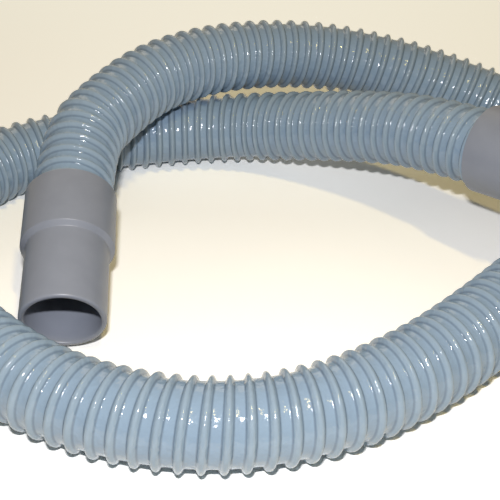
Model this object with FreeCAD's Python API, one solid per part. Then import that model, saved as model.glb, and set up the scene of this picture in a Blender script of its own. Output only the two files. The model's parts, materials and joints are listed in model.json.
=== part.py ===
"""Pool vacuum hose of the 38 mm size, about 1.55 m long, in a loose loop with a swivel cuff on each end.

Millimetres, +Z up, floor at Z = 0, origin at the middle of the box that the object fills.
Each cuff is modelled in the frame of its hose end: origin in the middle of the hose's cut face, +Z out of the mouth.
"""

import FreeCAD, Part
import math
import os

Vector = FreeCAD.Vector
UP = Vector(0, 0, 1)
TURN = 360

# Hose: a wound PVC wall with a half-round rib
HOSE_BORE_RADIUS = 18.9
HOSE_WALL = 0.9
RIB_HEIGHT = 2.7
RIB_FOOT_WIDTH = 5.0
RIB_CREST_WIDTH = 1.6
RIB_PITCH = 9.2
FLAT_DEPTH = 0.5
ARC_SHARE = 0.45
GAP_STEP = 1.0

# Collar: screwed over the hose's last ribs and glued there
COLLAR_RIBS = 3
COLLAR_COVER = 1.2
COLLAR_FLANGE = 2.0
SEAT_CLEARANCE = 0.12

# Seal: a flat ring between the collar's flange and the shell's inner shoulder
SEAL_THICKNESS = 2.5
SEAL_BORE_STEP = 1.2
SEAL_RIM_STEP = 0.4

# Shell: the outer cuff that turns on the collar
RUNNING_CLEARANCE = 0.08
END_GAP = 0.3
SHELL_WALL = 1.5
SHOULDER_WALL = 0.7
SHOULDER_LENGTH = 2.2
LIP_LENGTH = 2.8
LIP_CLEARANCE = 0.4
SPIGOT_BORE_RADIUS = 19.4
SPIGOT_WALL = 3.0
SPIGOT_LENGTH = 45.0
MOUTH_OUTER_ROUNDING = 1.4
MOUTH_INNER_ROUNDING = 1.2
RIM_ROUNDING = 0.6

# Route of the hose's middle line from the cut end in cuff A to the cut end in cuff B: x, y, and the
# lift above a hose that lies on the floor, in hose diameters, so that 1 rests on another stretch
ROUTE = [
    (-116.0, -35.0, 0.367),
    (-120.0, 29.0, 0.756),
    (-105.0, 69.5, 0.911),
    (-77.0, 108.5, 1.044),
    (-31.0, 138.5, 1.022),
    (25.0, 156.0, 0.867),
    (80.0, 155.5, 0.622),
    (128.0, 151.0, 0.3),
    (166.0, 138.5, 0.067),
    (196.0, 107.0, 0.0),
    (208.0, 63.5, 0.0),
    (197.0, 19.0, 0.0),
    (153.0, -31.0, 0.0),
    (100.0, -87.0, 0.0),
    (62.0, -120.5, 0.0),
    (16.0, -147.5, 0.0),
    (-36.0, -158.0, 0.0),
    (-89.0, -147.0, 0.0),
    (-134.0, -121.5, 0.0),
    (-191.0, -63.0, 0.0),
    (-208.0, -9.0, 0.0),
    (-199.5, 46.0, 0.0),
    (-168.0, 85.5, 0.0),
    (-121.0, 106.0, 0.0),
    (-69.0, 118.0, 0.0),
    (-21.0, 117.0, 0.089),
    (17.0, 101.0, 0.289),
    (56.0, 77.0, 0.578),
    (91.0, 49.0, 0.822),
    (139.0, 1.5, 0.978),
]

# Sizes that follow from the ones above
WALL_RADIUS = HOSE_BORE_RADIUS + HOSE_WALL
CREST_RADIUS = WALL_RADIUS + RIB_HEIGHT
LYING_HEIGHT = CREST_RADIUS - FLAT_DEPTH
COLLAR_RADIUS = CREST_RADIUS + COLLAR_COVER
CAVITY_RADIUS = COLLAR_RADIUS + RUNNING_CLEARANCE
SHELL_RADIUS = CAVITY_RADIUS + SHELL_WALL
SPIGOT_RADIUS = SPIGOT_BORE_RADIUS + SPIGOT_WALL
LIP_RADIUS = CREST_RADIUS + LIP_CLEARANCE
SEAL_TOP = COLLAR_FLANGE + SEAL_THICKNESS
INNER_SHOULDER = SEAL_TOP + END_GAP
OUTER_SHOULDER = INNER_SHOULDER + SHOULDER_WALL
SPIGOT_START = OUTER_SHOULDER + SHOULDER_LENGTH
MOUTH = SPIGOT_START + SPIGOT_LENGTH


def rounded_path(points):
    """Edges of straight runs joined by arcs tangent to both, and the arcs' radii."""
    edges = []
    radii = []
    start = points[0]
    for before, corner, after in zip(points, points[1:], points[2:]):
        back = before - corner
        ahead = after - corner
        reach = ARC_SHARE * min(back.Length, ahead.Length)
        half_turn = (math.pi - back.getAngle(ahead)) / 2
        radius = reach / math.tan(half_turn)
        back.normalize()
        ahead.normalize()
        inwards = (back + ahead).normalize()
        arc_start = corner + back * reach
        arc_end = corner + ahead * reach
        arc_middle = corner + inwards * (radius / math.cos(half_turn) - radius)
        edges.append(Part.LineSegment(start, arc_start).toShape())
        edges.append(Part.Arc(arc_start, arc_middle, arc_end).toShape())
        radii.append(radius)
        start = arc_end
    edges.append(Part.LineSegment(start, points[-1]).toShape())
    return edges, radii


def place_on_path(edges, distance):
    """Point and direction of the path at a distance from its start."""
    for edge in edges:
        if distance <= edge.Length or edge is edges[-1]:
            parameter = edge.getParameterByLength(min(distance, edge.Length))
            return edge.valueAt(parameter), edge.tangentAt(parameter)
        distance -= edge.Length


def ring(point, direction, radius):
    """A circle square to the direction, whose X axis stays level all along the hose."""
    side = direction.cross(UP).normalize()
    turned = FreeCAD.Rotation(side, direction.cross(side), direction, "ZXY")
    circle = Part.Circle(Vector(), UP, radius).toShape()
    circle.Placement = FreeCAD.Placement(point, turned)
    return Part.Wire([circle])


def rib_profile(middle):
    """The four stations of one rib, as distance along the hose and radius."""
    return [
        (middle - RIB_FOOT_WIDTH / 2, WALL_RADIUS),
        (middle - RIB_CREST_WIDTH / 2, CREST_RADIUS),
        (middle + RIB_CREST_WIDTH / 2, CREST_RADIUS),
        (middle + RIB_FOOT_WIDTH / 2, WALL_RADIUS),
    ]


def make_hose(edges, length, rib_count):
    """Ribs lofted through circles, the bore swept along the path, and a flat where the hose lies."""
    pitch = length / rib_count
    stations = [(0, WALL_RADIUS)]
    for number in range(rib_count):
        stations += rib_profile((number + 0.5) * pitch)
    stations.append((length, WALL_RADIUS))
    rings = [ring(*place_on_path(edges, distance), radius) for distance, radius in stations]
    outside = Part.makeLoft(rings, True, True)

    start, heading = place_on_path(edges, 0)
    bore = Part.Wire(edges).makePipeShell([ring(start, heading, HOSE_BORE_RADIUS)], True, False)
    bore_section = math.pi * HOSE_BORE_RADIUS**2
    print("outside volume, share of straight", round(outside.Volume / straight_volume(stations), 5))
    print("bore volume, share of straight", round(bore.Volume / (bore_section * length), 5))

    box = outside.BoundBox
    below = Part.makeBox(box.XLength, box.YLength, CREST_RADIUS, Vector(box.XMin, box.YMin, -CREST_RADIUS))
    return outside.cut(bore).cut(below)


def revolved(outline):
    """A closed outline of points and arcs in the XZ plane, turned about Z."""
    return Part.Face(Part.Wire(outline)).revolve(Vector(), UP, TURN)


def straight_outline(corners):
    """Edges through corners given as radius and height, closed back to the first."""
    points = [Vector(radius, 0, height) for radius, height in corners]
    return Part.makePolygon(points + points[:1]).Edges


def make_collar(pitch):
    """A sleeve whose inner grooves seat on the hose's last ribs, with a flange over the cut face."""
    depth = COLLAR_RIBS * pitch
    corners = [
        (HOSE_BORE_RADIUS, 0),
        (HOSE_BORE_RADIUS, COLLAR_FLANGE),
        (COLLAR_RADIUS, COLLAR_FLANGE),
        (COLLAR_RADIUS, -depth),
        (WALL_RADIUS + SEAT_CLEARANCE, -depth),
    ]
    for number in reversed(range(COLLAR_RIBS)):
        middle = -(number + 0.5) * pitch
        for height, radius in rib_profile(middle):
            outwards = math.copysign(SEAT_CLEARANCE, height - middle)
            corners.append((radius + SEAT_CLEARANCE, height + outwards))
    corners.append((WALL_RADIUS + SEAT_CLEARANCE, 0))
    return revolved(straight_outline(corners))


def make_seal():
    """A flat rubber ring on the collar's flange."""
    inner = HOSE_BORE_RADIUS + SEAL_BORE_STEP
    outer = COLLAR_RADIUS - SEAL_RIM_STEP
    corners = [
        (inner, COLLAR_FLANGE),
        (outer, COLLAR_FLANGE),
        (outer, SEAL_TOP),
        (inner, SEAL_TOP),
    ]
    return revolved(straight_outline(corners))


def make_shell(pitch):
    """The stepped outer cuff, with its retaining lip at the rim and its rounded mouth."""
    lip_face = -COLLAR_RIBS * pitch - END_GAP
    rim = lip_face - LIP_LENGTH
    corners = [
        (LIP_RADIUS, rim),
        (SHELL_RADIUS, rim),
        (SHELL_RADIUS, OUTER_SHOULDER),
        (SPIGOT_RADIUS, SPIGOT_START),
        (SPIGOT_RADIUS, MOUTH),
        (SPIGOT_BORE_RADIUS, MOUTH),
        (SPIGOT_BORE_RADIUS, INNER_SHOULDER),
        (CAVITY_RADIUS, INNER_SHOULDER),
        (CAVITY_RADIUS, lip_face),
        (LIP_RADIUS, lip_face),
    ]
    shell = revolved(straight_outline(corners))
    roundings = [
        (SHELL_RADIUS, rim, RIM_ROUNDING),
        (SPIGOT_RADIUS, MOUTH, MOUTH_OUTER_ROUNDING),
        (SPIGOT_BORE_RADIUS, MOUTH, MOUTH_INNER_ROUNDING),
    ]
    for radius, height, rounding in roundings:
        shell = shell.makeFillet(rounding, [circle_at(shell, radius, height)])
    return shell


def circle_at(solid, radius, height):
    """The circular edge of a revolved solid at a radius and height."""
    for edge in solid.Edges:
        if isinstance(edge.Curve, Part.Circle):
            same_radius = math.isclose(edge.Curve.Radius, radius, abs_tol=1e-6)
            same_height = math.isclose(edge.Curve.Center.z, height, abs_tol=1e-6)
            if same_radius and same_height:
                return edge


def cuff_placement(end, inside):
    """The frame of a hose end: +Z leaves the hose's cut face."""
    outwards = (end - inside).normalize()
    side = outwards.cross(UP).normalize()
    turned = FreeCAD.Rotation(side, outwards.cross(side), outwards, "ZXY")
    return FreeCAD.Placement(end, turned)


def straight_volume(stations):
    """Volume of the cones through the stations, which the bends don't change."""
    volume = 0
    for (start, first), (end, second) in zip(stations, stations[1:]):
        volume += math.pi / 3 * (end - start) * (first**2 + first * second + second**2)
    return volume


def least_gap(edges, length):
    """The least gap between stretches that lie over six diameters apart along the hose."""
    places = Part.Wire(edges).discretize(Number=round(length / GAP_STEP) + 1)
    skip = round(12 * CREST_RADIUS / GAP_STEP)
    nearest = min(
        place.distanceToPoint(other)
        for number, place in enumerate(places)
        for other in places[number + skip:]
    )
    return nearest - 2 * CREST_RADIUS


def main():
    os.makedirs("parts", exist_ok=True)
    points = [Vector(x, y, LYING_HEIGHT + lift * 2 * CREST_RADIUS) for x, y, lift in ROUTE]
    edges, radii = rounded_path(points)
    length = sum(edge.Length for edge in edges)
    rib_count = round(length / RIB_PITCH)
    pitch = length / rib_count

    print("hose length", round(length, 1), "ribs", rib_count, "pitch", round(pitch, 3))
    print("arc radii", [round(radius) for radius in radii])
    print("least gap of the hose to itself", round(least_gap(edges, length), 2))

    shapes = {"hose": make_hose(edges, length, rib_count)}
    ends = {
        "cuff_a": cuff_placement(points[0], points[1]),
        "cuff_b": cuff_placement(points[-1], points[-2]),
    }
    for name, placement in ends.items():
        pieces = {"shell": make_shell(pitch), "collar": make_collar(pitch), "seal": make_seal()}
        for piece, solid in pieces.items():
            solid.Placement = placement.multiply(solid.Placement)
            shapes[f"{name}_{piece}"] = solid
        bore_middle = Vector(0, 0, (INNER_SHOULDER + MOUTH - MOUTH_INNER_ROUNDING) / 2)
        print(name, "bore middle", placement.multVec(bore_middle), "axis", placement.Rotation.multVec(UP))

    whole = FreeCAD.BoundBox()
    for name, shape in shapes.items():
        shape.exportStep(f"parts/{name}.step")
        whole.add(shape.optimalBoundingBox(False))
        print(name, "solids", len(shape.Solids), "valid", shape.isValid(), "volume", round(shape.Volume))
    print("box", whole)


main()
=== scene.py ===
import json

import bmesh
import bpy
import numpy as np
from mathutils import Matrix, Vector

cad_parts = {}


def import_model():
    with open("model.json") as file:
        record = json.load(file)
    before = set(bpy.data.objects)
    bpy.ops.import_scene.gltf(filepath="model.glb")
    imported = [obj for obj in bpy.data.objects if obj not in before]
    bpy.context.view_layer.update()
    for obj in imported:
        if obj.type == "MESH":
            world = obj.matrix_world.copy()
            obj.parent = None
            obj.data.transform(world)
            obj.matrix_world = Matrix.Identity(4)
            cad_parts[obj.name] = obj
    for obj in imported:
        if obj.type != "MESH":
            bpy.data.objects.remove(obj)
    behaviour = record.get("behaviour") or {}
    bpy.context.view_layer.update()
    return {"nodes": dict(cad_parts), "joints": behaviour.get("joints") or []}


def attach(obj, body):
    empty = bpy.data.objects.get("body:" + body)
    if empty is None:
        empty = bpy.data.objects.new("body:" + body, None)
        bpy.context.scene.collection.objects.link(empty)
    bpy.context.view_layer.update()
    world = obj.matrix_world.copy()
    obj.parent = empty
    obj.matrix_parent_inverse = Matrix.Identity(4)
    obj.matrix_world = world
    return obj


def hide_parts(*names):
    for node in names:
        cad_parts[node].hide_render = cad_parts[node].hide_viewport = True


# Pool vacuum hose with a swivel cuff on each end, lying in a loose loop. Metres, +Z up, floor at Z = 0.

UP = np.array([0.0, 0.0, 1.0])
TURN = 2 * np.pi
MM = 0.001

# Middle line of the hose, from its cut end in cuff A to its cut end in cuff B. The second point stands
# a little further out than the others' spacing asks, so that the hose lies straight inside the cuff.
ROUTE = [
    (-0.1160, -0.0350, 0.0385),
    (-0.1204, 0.0355, 0.0578),
    (-0.1050, 0.0695, 0.0630),
    (-0.0770, 0.1085, 0.0690),
    (-0.0310, 0.1385, 0.0680),
    (0.0250, 0.1560, 0.0610),
    (0.0800, 0.1555, 0.0500),
    (0.1280, 0.1510, 0.0355),
    (0.1660, 0.1385, 0.0250),
    (0.1960, 0.1070, 0.0220),
    (0.2080, 0.0635, 0.0220),
    (0.1970, 0.0190, 0.0220),
    (0.1530, -0.0310, 0.0220),
    (0.1000, -0.0870, 0.0220),
    (0.0620, -0.1205, 0.0220),
    (0.0160, -0.1475, 0.0220),
    (-0.0360, -0.1580, 0.0220),
    (-0.0890, -0.1470, 0.0220),
    (-0.1340, -0.1215, 0.0220),
    (-0.1910, -0.0630, 0.0220),
    (-0.2080, -0.0090, 0.0220),
    (-0.1995, 0.0460, 0.0220),
    (-0.1680, 0.0855, 0.0220),
    (-0.1210, 0.1060, 0.0220),
    (-0.0690, 0.1180, 0.0220),
    (-0.0210, 0.1170, 0.0260),
    (0.0170, 0.1010, 0.0350),
    (0.0560, 0.0770, 0.0480),
    (0.0910, 0.0490, 0.0590),
    (0.1390, 0.0015, 0.0660),
]
ROUTE_RESOLUTION = 40

# Hose: its wall and the rib wound round it. Along the tube's first side the first crest is RIB_START of a
# pitch from the cut end. The rib sinks into the wall over the last END_FADE of a pitch before each end.
BORE_RADIUS = 18.9 * MM
WALL_RADIUS = 19.8 * MM
CREST_RADIUS = 22.5 * MM
CREST_ROUNDING = 1.4 * MM
FOOT_ROUNDING = 1.0 * MM
FLANK_SLOPE = np.radians(61)
RIB_TURNS = 169
RIB_START = 0.35
END_FADE = 0.25
HOSE_SIDES = 46
BORE_ROWS = 110
MERGE_DISTANCE = 0.001 * MM

# Cuff, measured along its axis from the hose's cut face towards the mouth
SHELL_RADIUS = 25.28 * MM
CAVITY_RADIUS = 23.78 * MM
LIP_RADIUS = 22.9 * MM
SPIGOT_RADIUS = 22.4 * MM
SPIGOT_BORE_RADIUS = 19.4 * MM
RIM = -30.62 * MM
LIP_FACE = -27.82 * MM
INNER_SHOULDER = 4.8 * MM
OUTER_SHOULDER = 5.5 * MM
SPIGOT_START = 7.7 * MM
MOUTH = 52.7 * MM
LIP_ROUNDING = 0.4 * MM
RIM_ROUNDING = 0.6 * MM
SHOULDER_ROUNDING = 0.7 * MM
SPIGOT_START_ROUNDING = 0.8 * MM
MOUTH_ROUNDING = 1.4 * MM
MOUTH_BORE_ROUNDING = 1.2 * MM
CAVITY_ROUNDING = 0.3 * MM
CUFF_SIDES = 112
ROUNDING_STEPS = 6

# How far from the middle of a rib the colour ramps across it reach, in millimetres
RAMP_WIDTH = 5.0

# Camera: its place, how far it is turned up from straight down, and its lens and frame in millimetres
CAMERA_PLACE = (-0.018, -0.476, 0.34883)
CAMERA_TILT = 0.94925
CAMERA_LENS = 72
CAMERA_FRAME = 36
CAMERA_NEAREST = 0.01

# Small cool lamp just over the lens, with its power in watts
FLASH_ABOVE_LENS = 0.080
FLASH_BESIDE_LENS = -0.015
FLASH_TARGET = (0, 0, 0.03)
FLASH_SIZE = (0.030, 0.014)
FLASH_POWER = 2.52
FLASH_COLOUR = "#FAFAFF"

# Warm lamp overhead
CEILING_PLACE = (0.45, -0.70, 2.0)
CEILING_SIZE = (0.06, 0.30)
CEILING_POWER = 8.0
CEILING_COLOUR = "#FFE494"

# Wide weak lamp behind the hose
FILL_PLACE = (-0.50, 1.90, 1.10)
FILL_SIZE = (1.6, 0.9)
FILL_POWER = 5.5
FILL_COLOUR = "#FFF3E0"

# World: the strength that it lights with, and the one that it shows where it is seen or mirrored
WORLD_LIGHT = 0.08
WORLD_SEEN = 0.40
WORLD_COLOUR = "#FFF3E0"

# Cloth: how much brighter than its own colour it shows, near the hose and behind it, and what it gives
# back to the hose. The change from near to behind runs along Y from CLOTH_NEAR to CLOTH_FAR.
CLOTH_SEEN = 1.40
CLOTH_SEEN_BEHIND = 2.40
CLOTH_BOUNCE = 0.75
CLOTH_NEAR = 0.05
CLOTH_FAR = 0.40
CLOTH_HALF_SIDE = 3.0


def linear(hex_colour):
    """sRGB hex to the linear values that shaders take, with full alpha."""
    shares = [int(hex_colour[k:k + 2], 16) / 255 for k in (1, 3, 5)]
    return [s / 12.92 if s <= 0.04045 else ((s + 0.055) / 1.055) ** 2.4 for s in shares] + [1.0]


def unit(vectors):
    """Each vector divided by its length."""
    return vectors / np.linalg.norm(vectors, axis=-1, keepdims=True)


def piece(name, vertices, faces, material):
    """An object whose place is in its mesh."""
    mesh = bpy.data.meshes.new(name)
    mesh.from_pydata(vertices.reshape(-1, 3).tolist(), [], faces.reshape(-1, 4).tolist())
    mesh.shade_smooth()
    mesh.materials.append(material)
    made = bpy.data.objects.new(name, mesh)
    bpy.context.scene.collection.objects.link(made)
    return made


def quads(a, b, c, d):
    """Faces from four equal arrays of vertex numbers."""
    return np.stack([a, b, c, d], axis=-1).reshape(-1, 4)


# Middle line

def route_line():
    """Points along the hose, read from a quadratic NURBS spline through the route's control points."""
    curve = bpy.data.curves.new("hose_route", "CURVE")
    curve.dimensions = "3D"
    spline = curve.splines.new("NURBS")
    spline.points.add(len(ROUTE) - 1)
    for point, place in zip(spline.points, ROUTE):
        point.co = (*place, 1)
    spline.order_u = 3
    spline.use_endpoint_u = True
    spline.resolution_u = ROUTE_RESOLUTION
    holder = bpy.data.objects.new("hose_route", curve)
    mesh = bpy.data.meshes.new_from_object(holder)
    line = np.array([vertex.co for vertex in mesh.vertices])
    bpy.data.objects.remove(holder)
    bpy.data.curves.remove(curve)
    bpy.data.meshes.remove(mesh)
    return line


def distances(line):
    """How far along the line each of its points lies."""
    return np.concatenate([[0], np.cumsum(np.linalg.norm(np.diff(line, axis=0), axis=1))])


def along_line(line, places):
    """Middle, side and top directions of the hose at distances along it.

    The side is square to the heading and level, and the top is square to both.
    """
    at = distances(line)
    headings = np.gradient(line, at, axis=0)
    middle = np.stack([np.interp(places, at, line[:, k]) for k in range(3)], axis=-1)
    heading = unit(np.stack([np.interp(places, at, headings[:, k]) for k in range(3)], axis=-1))
    side = unit(np.cross(heading, UP))
    return middle, side, np.cross(side, heading)


def tube_points(line, places, angles, radius):
    """Points round the line: middle plus radius times side times cosine plus top times sine.

    None lies below the floor, so the hose is flat where it rests.
    """
    middle, side, top = along_line(line, places)
    cos, sin = np.cos(angles)[..., None], np.sin(angles)[..., None]
    points = middle + np.asarray(radius)[..., None] * (side * cos + top * sin)
    points[..., 2] = np.maximum(points[..., 2], 0)
    return points


# Hose

def rib_profile():
    """Half the rib's outline from its crest to its foot, as distance beside the middle and height.

    A crest arc and a foot arc of the opposite bend meet a straight flank: each arc covers the flank's
    slope, so it is its radius times the slope's sine wide and times one less the cosine high.
    """
    height = CREST_RADIUS - WALL_RADIUS
    sine, drop = np.sin(FLANK_SLOPE), 1 - np.cos(FLANK_SLOPE)
    flank = (height - (CREST_ROUNDING + FOOT_ROUNDING) * drop) / np.tan(FLANK_SLOPE)
    crest = CREST_ROUNDING * np.sin(FLANK_SLOPE * np.array([0.0, 0.5, 1.0]))
    crest_height = height - CREST_ROUNDING + np.sqrt(CREST_ROUNDING**2 - crest**2)
    foot_end = crest[-1] + flank + FOOT_ROUNDING * sine
    foot = FOOT_ROUNDING * np.sin(FLANK_SLOPE * np.array([1.0, 0.5, 0.0]))
    foot_height = FOOT_ROUNDING - np.sqrt(FOOT_ROUNDING**2 - foot**2)
    return np.append(crest, foot_end - foot), np.append(crest_height, foot_height)


def rib_rows(pitch, length):
    """Where each row across the rib starts, its height, its distance from a crest, and the rows in a turn.

    A turn's rows run from midway between two ribs up one flank and down the other. There is one turn more
    at each end, for the rows to run out in, and one last row at the far cut end.
    """
    half, height = rib_profile()
    beside = np.concatenate([[-pitch / 2], -half[:0:-1], half])
    heights = np.concatenate([[0], height[:0:-1], height])
    turns = np.arange(-1, RIB_TURNS + 1)
    starts = np.append((turns[:, None] + RIB_START) * pitch + beside, length)
    all_heights = np.append(np.tile(heights, len(turns)), 0)
    from_crest = np.append(np.tile(np.abs(beside), len(turns)), pitch / 2)
    return starts, all_heights, from_crest, len(beside)


def hose_faces(outer, bore, per_turn):
    """Faces between neighbouring rows and sides outside, over the seam, in the bore and at the cut ends.

    The last side of a row meets the first side of the row one turn further on.
    """
    bore = np.concatenate([bore, bore[:, :1]], axis=1)
    seam, seam_ahead = outer[:-per_turn, -1], outer[per_turn:, 0]
    first, last = np.append(outer[0], outer[0, 0]), np.append(outer[-1], outer[-1, 0])
    return np.concatenate([
        quads(outer[:-1, :-1], outer[1:, :-1], outer[1:, 1:], outer[:-1, 1:]),
        quads(seam[:-1], seam[1:], seam_ahead[1:], seam_ahead[:-1]),
        quads(bore[:-1, :-1], bore[:-1, 1:], bore[1:, 1:], bore[1:, :-1]),
        quads(first[:-1], first[1:], bore[0, 1:], bore[0, :-1]),
        quads(last[:-1], bore[-1, :-1], bore[-1, 1:], last[1:]),
    ])


def make_hose(line, material):
    """A tube whose outer rows run along one wound rib, closed at both ends and open at the bore.

    A row is a helix: at the angle a it lies at its own start plus a turn's pitch times a / 360 degrees,
    held between the hose's ends, and its radius is the wall's plus the rib's height at that row.
    """
    length = distances(line)[-1]
    pitch = length / RIB_TURNS
    starts, heights, from_crest, per_turn = rib_rows(pitch, length)
    turn_share = np.arange(HOSE_SIDES) / HOSE_SIDES
    angles = turn_share * TURN
    places = np.clip(starts[:, None] + pitch * turn_share, 0, length)
    fade = np.clip(np.minimum(places, length - places) / (END_FADE * pitch), 0, 1)
    outside = tube_points(line, places, angles, WALL_RADIUS + heights[:, None] * fade)
    bore_places = np.repeat(np.linspace(0, length, BORE_ROWS)[:, None], HOSE_SIDES, axis=1)
    inside = tube_points(line, bore_places, angles, BORE_RADIUS)

    outer = np.arange(places.size).reshape(places.shape)
    bore = outer.size + np.arange(bore_places.size).reshape(bore_places.shape)
    points = np.concatenate([outside.reshape(-1, 3), inside.reshape(-1, 3)])
    hose = piece("hose_wound", points, hose_faces(outer, bore, per_turn), material)

    from_crest = np.append(np.repeat(from_crest, HOSE_SIDES), np.full(bore.size, pitch / 2))
    attribute = hose.data.attributes.new("mm_from_crest", "FLOAT", "POINT")
    attribute.data.foreach_set("value", (from_crest / MM).astype(np.float32))
    merge_ends(hose.data, outer[(places <= 0) | (places >= length)])
    return hose


def merge_ends(mesh, numbers):
    """Joins the vertices that lie on each other where the rows run out at the hose's ends."""
    work = bmesh.new()
    work.from_mesh(mesh)
    work.verts.ensure_lookup_table()
    ends = [work.verts[number] for number in numbers.tolist()]
    bmesh.ops.remove_doubles(work, verts=ends, dist=MERGE_DISTANCE)
    work.to_mesh(mesh)
    work.free()


# Cuffs

def rounded_outline(corners):
    """A closed outline from corners (radius, height, rounding), each rounding an arc tangent to both sides.

    The arc's middle lies on the line that halves the corner, at the rounding over the half angle's sine.
    """
    points = np.array([corner[:2] for corner in corners])
    before = unit(np.roll(points, 1, axis=0) - points)
    after = unit(np.roll(points, -1, axis=0) - points)
    outline = []
    for point, back, ahead, corner in zip(points, before, after, corners):
        half = np.arccos(np.clip(back @ ahead, -1, 1)) / 2
        reach = corner[2] / np.tan(half)
        middle = point + unit(back + ahead) * corner[2] / np.sin(half)
        start, end = point + back * reach - middle, point + ahead * reach - middle
        turn = np.pi - 2 * half
        for share in np.linspace(0, 1, ROUNDING_STEPS + 1):
            arc = (np.sin((1 - share) * turn) * start + np.sin(share * turn) * end) / np.sin(turn)
            outline.append(middle + arc)
    return np.array(outline)


def turned(name, outline, base, axis, material):
    """An outline of radius and height turned about an axis.

    A point is the base plus its radius times the direction round the axis plus its height times the axis.
    """
    side = unit(np.cross(axis, UP))
    top = np.cross(side, axis)
    angles = np.arange(CUFF_SIDES) / CUFF_SIDES * TURN
    around = np.cos(angles)[:, None] * side + np.sin(angles)[:, None] * top
    points = base + outline[:, None, :1] * around + outline[:, None, 1:] * axis
    number = np.arange(len(outline) * CUFF_SIDES).reshape(len(outline), CUFF_SIDES)
    ahead, beside = np.roll(number, -1, axis=0), np.roll(number, -1, axis=1)
    both = np.roll(ahead, -1, axis=1)
    return piece(name, points, quads(number, ahead, both, beside), material)


def shell_outline():
    """Half section of the outer cuff, from its rim over the shoulder to the mouth and back inside."""
    return rounded_outline([
        (LIP_RADIUS, RIM, LIP_ROUNDING),
        (SHELL_RADIUS, RIM, RIM_ROUNDING),
        (SHELL_RADIUS, OUTER_SHOULDER, SHOULDER_ROUNDING),
        (SPIGOT_RADIUS, SPIGOT_START, SPIGOT_START_ROUNDING),
        (SPIGOT_RADIUS, MOUTH, MOUTH_ROUNDING),
        (SPIGOT_BORE_RADIUS, MOUTH, MOUTH_BORE_ROUNDING),
        (SPIGOT_BORE_RADIUS, INNER_SHOULDER, CAVITY_ROUNDING),
        (CAVITY_RADIUS, INNER_SHOULDER, CAVITY_ROUNDING),
        (CAVITY_RADIUS, LIP_FACE, CAVITY_ROUNDING),
        (LIP_RADIUS, LIP_FACE, CAVITY_ROUNDING),
    ])


def make_cuff(joint, material):
    """The outer cuff of one hose end, on the body of the joint that it swivels on and turned about it."""
    cuff = joint["child"]
    base, axis = np.array(joint["pos_m"]), unit(np.array(joint["axis"]))
    shell = turned(f"{cuff}_moulding", shell_outline(), base, axis, material)
    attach(shell, cuff)
    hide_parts(f"{cuff}_shell")
    return shell


# Materials

def add(tree, kind, links=None, **settings):
    """Adds a node with its settings, a colour in hex among them, and links its inputs from sockets."""
    node = tree.nodes.new(kind)
    for key, value in settings.items():
        if key in node.bl_rna.properties:
            setattr(node, key, value)
        else:
            socket = node.inputs[key.replace("_", " ")]
            socket.default_value = linear(value) if isinstance(value, str) else value
    for name, source in (links or {}).items():
        tree.links.new(source, node.inputs[name])
    return node


def surface(name):
    """A new material, its node tree and its shader."""
    material = bpy.data.materials.new(name)
    material.use_nodes = True
    return material, material.node_tree, material.node_tree.nodes["Principled BSDF"]


def across_rib(tree, stops):
    """A value that runs through stops of (millimetres from the rib's middle, value).

    A new ramp has two elements, so the third stop and later ones add theirs.
    """
    distance = add(tree, "ShaderNodeAttribute", attribute_name="mm_from_crest").outputs["Fac"]
    share = add(tree, "ShaderNodeMath", {0: distance}, operation="DIVIDE")
    share.inputs[1].default_value = RAMP_WIDTH
    ramp = add(tree, "ShaderNodeValToRGB", {"Fac": share.outputs[0]})
    elements = ramp.color_ramp.elements
    for number, (millimetres, value) in enumerate(stops):
        element = elements[number] if number < 2 else elements.new(1)
        element.position = millimetres / RAMP_WIDTH
        element.color = (value, value, value, 1)
    return ramp.outputs["Color"]


def hose_pvc():
    """Soft PVC, wound from a strip and welded: glossy and lumpy, with painted shade in the crease at each
    rib's foot.

    The lumps are the drips and pits of the welded seam, about 4 and 1 mm across, which break the gloss into
    specks. The ribs are a little lighter and greyer than the bluer web: painted warm light on the ribs'
    tops and painted shade in the web. Wide faint clouds run over both.
    """
    cloud_width, lump_width, pit_width = 35.71 * MM, 3.846 * MM, 1.111 * MM
    material, tree, shader = surface("Soft PVC, wound and welded")
    place = add(tree, "ShaderNodeTexCoord").outputs["Object"]
    clouds = add(tree, "ShaderNodeTexNoise", {"Vector": place}, Scale=1 / cloud_width, Detail=3.0)
    clouds = clouds.outputs["Fac"]
    # Painted light and shade: the rib's tone is a little lighter and greyer than the web's, as if lit from
    # above.
    web = add(tree, "ShaderNodeMix", {"Factor": clouds}, data_type="RGBA", A="#879DB3", B="#94AABD")
    rib = add(tree, "ShaderNodeMix", {"Factor": clouds}, data_type="RGBA", A="#8CA0B1", B="#9AADBC")
    from_rib = across_rib(tree, [(1.5, 0), (2.2, 1)])
    tones = {"Factor": from_rib, "A": rib.outputs["Result"], "B": web.outputs["Result"]}
    tone = add(tree, "ShaderNodeMix", tones, data_type="RGBA").outputs["Result"]
    # Painted shade: a fine dark line in the crease at each rib's foot, 1.6 to 2.8 mm from the crest.
    painted_crease_shade = across_rib(tree, [(1.6, 0), (2.0, 0.45), (2.25, 0.45), (2.8, 0)])
    tone_with_crease_shade = add(tree, "ShaderNodeMix", {"Factor": painted_crease_shade, "A": tone}, data_type="RGBA", B="#4C5A68")
    tree.links.new(tone_with_crease_shade.outputs["Result"], shader.inputs["Base Color"])
    lumps = add(tree, "ShaderNodeTexNoise", {"Vector": place}, Scale=1 / lump_width, Detail=1.0)
    wide = add(tree, "ShaderNodeBump", {"Height": lumps.outputs["Fac"]}, Strength=0.6, Distance=0.8 * MM)
    pits = add(tree, "ShaderNodeTexNoise", {"Vector": place}, Scale=1 / pit_width, Detail=1.0)
    fine = add(tree, "ShaderNodeBump", {"Height": pits.outputs["Fac"]}, Strength=0.5, Distance=0.22 * MM)
    tree.links.new(wide.outputs["Normal"], fine.inputs["Normal"])
    tree.links.new(fine.outputs["Normal"], shader.inputs["Normal"])
    shader.inputs["Roughness"].default_value = 0.11
    shader.inputs["IOR"].default_value = 1.53
    return material


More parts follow.
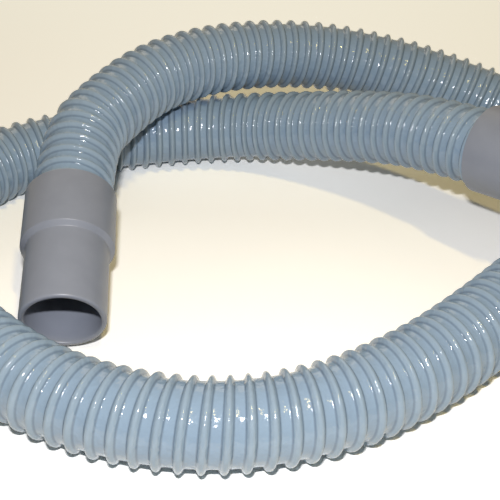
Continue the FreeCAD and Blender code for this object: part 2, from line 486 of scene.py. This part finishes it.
def cuff_plastic():
    """Moulded polyethylene: mid grey, satin, with the faint mottle of the mould's surface.

    The mould's grain is finer than the picture shows, so it is drawn 0.6 mm wide.
    """
    mottle_width, grain_width = 10.53 * MM, 0.625 * MM
    material, tree, shader = surface("Moulded polyethylene, grey")
    place = add(tree, "ShaderNodeTexCoord").outputs["Object"]
    mottle = add(tree, "ShaderNodeTexNoise", {"Vector": place}, Scale=1 / mottle_width, Detail=5.0)
    mottle = mottle.outputs["Fac"]
    tone = add(tree, "ShaderNodeMix", {"Factor": mottle}, data_type="RGBA", A="#868B96", B="#9297A2")
    tree.links.new(tone.outputs["Result"], shader.inputs["Base Color"])
    grain = add(tree, "ShaderNodeTexNoise", {"Vector": place}, Scale=1 / grain_width, Detail=2.0)
    bump = add(tree, "ShaderNodeBump", {"Height": grain.outputs["Fac"]}, Strength=0.12, Distance=0.1 * MM)
    tree.links.new(bump.outputs["Normal"], shader.inputs["Normal"])
    shader.inputs["Roughness"].default_value = 0.38
    shader.inputs["IOR"].default_value = 1.51
    return material


def collar_plastic():
    """Moulded polyethylene: dark grey, satin, faintly mottled, hidden but for its inner edge."""
    mottle_width = 8.333 * MM
    material, tree, shader = surface("Moulded polyethylene, dark grey")
    place = add(tree, "ShaderNodeTexCoord").outputs["Object"]
    mottle = add(tree, "ShaderNodeTexNoise", {"Vector": place}, Scale=1 / mottle_width, Detail=3.0)
    mottle = mottle.outputs["Fac"]
    tone = add(tree, "ShaderNodeMix", {"Factor": mottle}, data_type="RGBA", A="#55575A", B="#626468")
    tree.links.new(tone.outputs["Result"], shader.inputs["Base Color"])
    shader.inputs["Roughness"].default_value = 0.45
    return material


def seal_rubber():
    """Pressed nitrile rubber: black and dull, with a fine bloom, drawn 2.5 mm wide to show at all."""
    bloom_width = 2.5 * MM
    material, tree, shader = surface("Nitrile rubber, pressed")
    place = add(tree, "ShaderNodeTexCoord").outputs["Object"]
    bloom = add(tree, "ShaderNodeTexNoise", {"Vector": place}, Scale=1 / bloom_width, Detail=3.0)
    bloom = bloom.outputs["Fac"]
    tone = add(tree, "ShaderNodeMix", {"Factor": bloom}, data_type="RGBA", A="#1E1F20", B="#303234")
    tree.links.new(tone.outputs["Result"], shader.inputs["Base Color"])
    shader.inputs["Roughness"].default_value = 0.62
    return material


# Stage

def seen_itself(tree):
    """1 where the thing itself is seen, straight, in gloss or through glass, and 0 where it only lights."""
    rays = add(tree, "ShaderNodeLightPath").outputs
    seen = rays["Is Camera Ray"]
    for kind in ("Is Glossy Ray", "Is Transmission Ray"):
        seen = add(tree, "ShaderNodeMath", {0: seen, 1: rays[kind]}, operation="MAXIMUM").outputs[0]
    return seen


def make_floor():
    """A plain pale cloth that shows brighter than the light it gives back, and more so behind the hose."""
    material, tree, shader = surface("Plain pale cloth")
    place = add(tree, "ShaderNodeTexCoord").outputs["Object"]
    depth = add(tree, "ShaderNodeSeparateXYZ", {"Vector": place}).outputs["Y"]
    behind = add(tree, "ShaderNodeMapRange", {"Value": depth}, From_Min=CLOTH_NEAR, From_Max=CLOTH_FAR)
    behind = behind.outputs["Result"]
    tone = add(tree, "ShaderNodeMix", {"Factor": behind}, data_type="RGBA", A="#FFFDF6", B="#F3F8FD")
    shown = add(tree, "ShaderNodeMapRange", {"Value": behind}, To_Min=CLOTH_SEEN, To_Max=CLOTH_SEEN_BEHIND)
    limits = {"Value": seen_itself(tree), "To Max": shown.outputs["Result"]}
    gain = add(tree, "ShaderNodeMapRange", limits, To_Min=CLOTH_BOUNCE)
    product = {"Vector": tone.outputs["Result"], "Scale": gain.outputs["Result"]}
    bright = add(tree, "ShaderNodeVectorMath", product, operation="SCALE")
    cloth = add(tree, "ShaderNodeBsdfDiffuse", {"Color": bright.outputs["Vector"]})
    tree.nodes.remove(shader)
    tree.links.new(cloth.outputs["BSDF"], tree.nodes["Material Output"].inputs["Surface"])
    half = CLOTH_HALF_SIDE
    corners = np.array([[-half, -half, 0], [half, -half, 0], [half, half, 0], [-half, half, 0]])
    floor = piece("floor", corners, np.array([[0, 1, 2, 3]]), material)


def make_lamp(name, place, target, size, power, colour):
    """A rectangular lamp that faces its target."""
    lamp = bpy.data.lights.new(name, "AREA")
    lamp.shape = "RECTANGLE"
    lamp.size, lamp.size_y = size
    lamp.energy = power
    lamp.color = linear(colour)[:3]
    holder = bpy.data.objects.new(name, lamp)
    bpy.context.scene.collection.objects.link(holder)
    holder.location = place
    holder.rotation_euler = (Vector(place) - Vector(target)).to_track_quat("Z", "Y").to_euler()


def make_light():
    """The lamp over the lens, the lamp overhead, the fill behind, and a pale world."""
    above = np.array([0, np.cos(CAMERA_TILT), np.sin(CAMERA_TILT)])
    flash_place = np.array(CAMERA_PLACE) + FLASH_ABOVE_LENS * above + [FLASH_BESIDE_LENS, 0, 0]
    make_lamp("flash", flash_place, FLASH_TARGET, FLASH_SIZE, FLASH_POWER, FLASH_COLOUR)
    make_lamp("ceiling_lamp", CEILING_PLACE, (0, 0, 0), CEILING_SIZE, CEILING_POWER, CEILING_COLOUR)
    make_lamp("fill_lamp", FILL_PLACE, (0, 0, 0), FILL_SIZE, FILL_POWER, FILL_COLOUR)
    world = bpy.data.worlds.new("studio")
    world.use_nodes = True
    tree = world.node_tree
    seen = seen_itself(tree)
    strength = add(tree, "ShaderNodeMapRange", {"Value": seen}, To_Min=WORLD_LIGHT, To_Max=WORLD_SEEN)
    tree.nodes["Background"].inputs["Color"].default_value = linear(WORLD_COLOUR)
    tree.links.new(strength.outputs["Result"], tree.nodes["Background"].inputs["Strength"])
    bpy.context.scene.world = world


def make_camera():
    """The camera at the photograph's place and tilt."""
    camera = bpy.data.cameras.new("camera")
    camera.lens = CAMERA_LENS
    camera.sensor_width = CAMERA_FRAME
    camera.clip_start = CAMERA_NEAREST
    holder = bpy.data.objects.new("camera", camera)
    holder.location = CAMERA_PLACE
    holder.rotation_euler = (CAMERA_TILT, 0, 0)
    bpy.context.scene.collection.objects.link(holder)
    bpy.context.scene.camera = holder


def main():
    """Sets the stage, makes the hose and its cuffs on their bodies, and finishes the hidden pieces."""
    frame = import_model()
    bpy.context.scene.view_settings.view_transform = "Standard"
    make_camera()
    make_light()
    make_floor()

    line = route_line()
    hose = make_hose(line, hose_pvc())
    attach(hose, "root")
    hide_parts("hose")

    grey = cuff_plastic()
    cuffs = {joint["name"]: make_cuff(joint, grey) for joint in frame["joints"]}
    dark, rubber = collar_plastic(), seal_rubber()
    for cuff in ("cuff_a", "cuff_b"):
        frame["nodes"][f"{cuff}_collar"].data.materials[0] = dark
        frame["nodes"][f"{cuff}_seal"].data.materials[0] = rubber


main()
